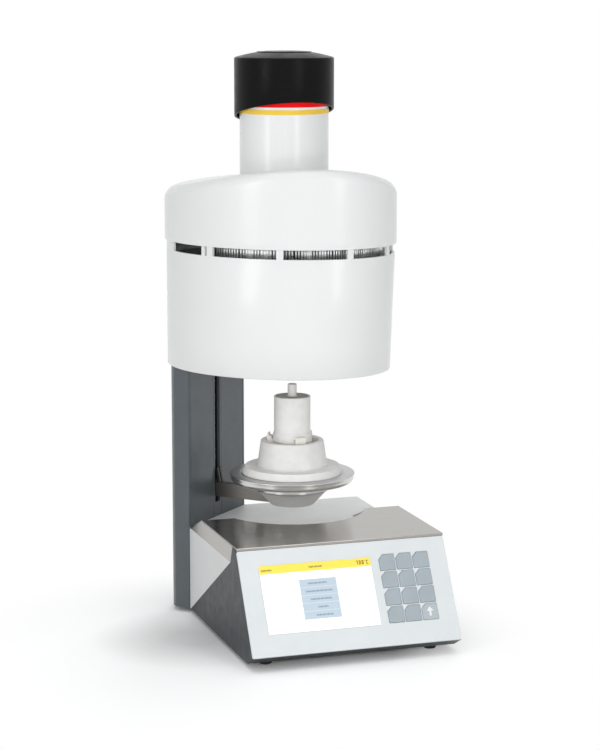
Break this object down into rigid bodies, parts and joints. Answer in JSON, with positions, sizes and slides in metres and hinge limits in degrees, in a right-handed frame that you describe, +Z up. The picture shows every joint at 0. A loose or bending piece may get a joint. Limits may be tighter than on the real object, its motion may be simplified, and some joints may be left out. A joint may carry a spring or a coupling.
{
  "type": "dental press furnace",
  "caption": "Dental ceramic press furnace with lift table, heated head on a corner column, and sloped control panel",
  "frame": {"origin": "middle of the outline on the bench plane", "axes": "+Z up, +Y to the rear, +X to the right of someone facing the control panel"},
  "size_m": [0.3042, 0.4325, 0.772],
  "materials": {
    "housing_dark": "textured powder-coated moulding",
    "housing_light": "fine satin lacquer",
    "panel_light": "satin lacquer",
    "tray_steel": "brushed stainless sheet",
    "display_glass": "lit display under clear glass",
    "key_grey": "fine satin moulding",
    "board_green": "solder resist",
    "foot_rubber": "matt rubber",
    "zinc_sheet": "zinc-plated sheet",
    "black_plastic": "matt black moulding",
    "switch_red": "glossy moulding",
    "column_coat": "semi-gloss coating on an extrusion",
    "steel_ground": "ground steel",
    "alu_turned": "fine-turned, satin",
    "arm_brushed": "brushed",
    "ceramic_white": "pressed ceramic fibre",
    "ceramic_cream": "fired ceramic",
    "investment_white": "cast investment",
    "pin_white": "smooth fired alumina",
    "seal_fibre": "woven glass-fibre rope",
    "shell_white": "semi-gloss white powder coating",
    "element_wire": "oxidised resistance wire",
    "cap_black": "satin black moulding",
    "signal_print": "yellow ring and red band"
  },
  "bodies": {
    "base": {"base_tub": "housing_dark", "deck_body": "housing_light", "steel_tray": "tray_steel", "front_panel": "panel_light", "touch_display": "display_glass", "keypad_board": "board_green", "foot_pads": "foot_rubber", "main_board": "board_green", "power_supply": "zinc_sheet", "mains_inlet": "black_plastic", "power_switch": "black_plastic", "air_port": "steel_ground", "column_profile": "column_coat", "column_bolts": "steel_ground", "guide_rail": "steel_ground", "screw_bearings": "alu_turned", "lift_motor": "black_plastic", "slot_seal": "black_plastic", "head_base_plate": "zinc_sheet", "head_bracket": "steel_ground", "chamber_seal": "seal_fibre", "head_shell": "shell_white", "chamber_can": "zinc_sheet", "chamber_insulation": "ceramic_white", "heating_muffle": "ceramic_cream", "heating_element": "element_wire", "chamber_lid": "ceramic_white", "head_deck": "zinc_sheet", "heat_shield": "zinc_sheet", "bridge_posts": "steel_ground", "head_bridge": "zinc_sheet", "press_cylinder": "alu_turned", "head_cover": "shell_white", "neck_tube": "shell_white", "signal_rings": "signal_print", "cap": "cap_black"},
    "lift": {"guide_carriage": "steel_ground", "lift_arm": "arm_brushed", "arm_gusset": "black_plastic", "table_bowl": "alu_turned", "insulating_base": "ceramic_white", "muffle_stand": "ceramic_white", "stand_ring": "ceramic_cream", "investment_cylinder": "investment_white"},
    "pin": {"press_pin": "pin_white"},
    "press": {"press_rod": "steel_ground"},
    "screw": {"lead_screw": "steel_ground"},
    "rocker": {"switch_rocker": "switch_red"},
    "key_1_cap": {"key_1": "key_grey"},
    "key_2_cap": {"key_2": "key_grey"},
    "key_3_cap": {"key_3": "key_grey"},
    "key_4_cap": {"key_4": "key_grey"},
    "key_5_cap": {"key_5": "key_grey"},
    "key_6_cap": {"key_6": "key_grey"},
    "key_7_cap": {"key_7": "key_grey"},
    "key_8_cap": {"key_8": "key_grey"},
    "key_9_cap": {"key_9": "key_grey"},
    "key_10_cap": {"key_10": "key_grey"},
    "key_11_cap": {"key_11": "key_grey"},
    "key_12_cap": {"key_12": "key_grey"}
  },
  "joints": [
    {"name": "lift_slide", "type": "slide", "parent": "base", "child": "lift", "axis": [0, 0, 1], "range_m": [0, 0.147]},
    {"name": "screw_turn", "type": "hinge", "parent": "base", "child": "screw", "pos_m": [-0.06962, 0.17337, 0.3], "axis": [0, 0, 1], "range_deg": [0, 5295]},
    {"name": "press_slide", "type": "slide", "parent": "base", "child": "press", "axis": [0, 0, -1], "range_m": [0, 0.015]},
    {"name": "pin_slide", "type": "slide", "parent": "lift", "child": "pin", "axis": [0, 0, -1], "range_m": [0, 0.015]},
    {"name": "rocker_tilt", "type": "hinge", "parent": "base", "child": "rocker", "pos_m": [0.05016, 0.19199, 0.04], "axis": [1, 0, 0], "range_deg": [-12, 0]},
    {"name": "key_1_press", "type": "slide", "parent": "base", "child": "key_1_cap", "axis": [0, 0.8625, -0.5061], "range_m": [0, 0.0008], "stiffness_N_per_m": 400, "springref_m": -0.0005},
    {"name": "key_2_press", "type": "slide", "parent": "base", "child": "key_2_cap", "axis": [0, 0.8625, -0.5061], "range_m": [0, 0.0008], "stiffness_N_per_m": 400, "springref_m": -0.0005},
    {"name": "key_3_press", "type": "slide", "parent": "base", "child": "key_3_cap", "axis": [0, 0.8625, -0.5061], "range_m": [0, 0.0008], "stiffness_N_per_m": 400, "springref_m": -0.0005},
    {"name": "key_4_press", "type": "slide", "parent": "base", "child": "key_4_cap", "axis": [0, 0.8625, -0.5061], "range_m": [0, 0.0008], "stiffness_N_per_m": 400, "springref_m": -0.0005},
    {"name": "key_5_press", "type": "slide", "parent": "base", "child": "key_5_cap", "axis": [0, 0.8625, -0.5061], "range_m": [0, 0.0008], "stiffness_N_per_m": 400, "springref_m": -0.0005},
    {"name": "key_6_press", "type": "slide", "parent": "base", "child": "key_6_cap", "axis": [0, 0.8625, -0.5061], "range_m": [0, 0.0008], "stiffness_N_per_m": 400, "springref_m": -0.0005},
    {"name": "key_7_press", "type": "slide", "parent": "base", "child": "key_7_cap", "axis": [0, 0.8625, -0.5061], "range_m": [0, 0.0008], "stiffness_N_per_m": 400, "springref_m": -0.0005},
    {"name": "key_8_press", "type": "slide", "parent": "base", "child": "key_8_cap", "axis": [0, 0.8625, -0.5061], "range_m": [0, 0.0008], "stiffness_N_per_m": 400, "springref_m": -0.0005},
    {"name": "key_9_press", "type": "slide", "parent": "base", "child": "key_9_cap", "axis": [0, 0.8625, -0.5061], "range_m": [0, 0.0008], "stiffness_N_per_m": 400, "springref_m": -0.0005},
    {"name": "key_10_press", "type": "slide", "parent": "base", "child": "key_10_cap", "axis": [0, 0.8625, -0.5061], "range_m": [0, 0.0008], "stiffness_N_per_m": 400, "springref_m": -0.0005},
    {"name": "key_11_press", "type": "slide", "parent": "base", "child": "key_11_cap", "axis": [0, 0.8625, -0.5061], "range_m": [0, 0.0008], "stiffness_N_per_m": 400, "springref_m": -0.0005},
    {"name": "key_12_press", "type": "slide", "parent": "base", "child": "key_12_cap", "axis": [0, 0.8625, -0.5061], "range_m": [0, 0.0008], "stiffness_N_per_m": 400, "springref_m": -0.0005}
  ],
  "couplings": [
    {"joint": "screw_turn", "follows": "lift_slide", "rad_per_m": 628.32},
    {"joint": "pin_slide", "follows": "press_slide", "ratio": 1}
  ]
}
